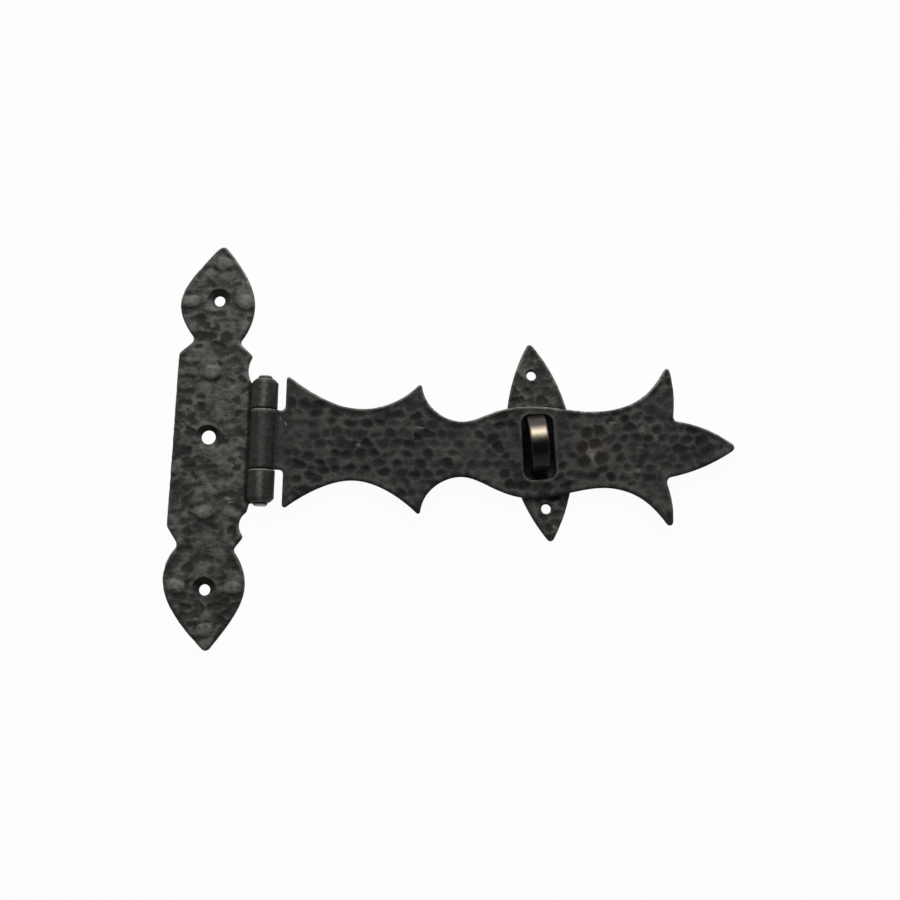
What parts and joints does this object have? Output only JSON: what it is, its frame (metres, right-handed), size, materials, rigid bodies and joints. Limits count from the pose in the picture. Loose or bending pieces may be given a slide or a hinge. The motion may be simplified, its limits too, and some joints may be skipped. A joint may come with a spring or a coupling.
{
  "type": "hinged hasp with staple",
  "caption": "Hammered black iron hinged hasp: spade-ended hinge plate, pinned strap with barbs and a pointed tip, and a leaf-shaped staple plate whose hoop stands through the strap's slot.",
  "frame": {"origin": "midway between the two end screw holes of the hinge plate, on the plane of the plates' backs", "axes": "+X along the strap to its tip, +Y along the hinge pin, +Z out of the door"},
  "size_m": [0.1955, 0.1422, 0.016],
  "materials": {
    "plate_iron": "hammered, blackened, worn on the high spots",
    "pin_iron": "blackened, ends worn bright",
    "strap_iron": "hammered, blackened, with a little brown rust",
    "staple_iron": "smooth black, worn bright on the shoulder"
  },
  "bodies": {
    "base": {"hinge_plate": "plate_iron", "hinge_pin": "pin_iron", "staple_plate": "plate_iron", "staple": "staple_iron"},
    "strap": {"hasp_strap": "strap_iron"}
  },
  "joints": [
    {"name": "strap_hinge", "type": "hinge", "parent": "base", "child": "strap", "pos_m": [0.0184, 0, 0.00465], "axis": [0, -1, 0], "range_deg": [0, 180]}
  ]
}
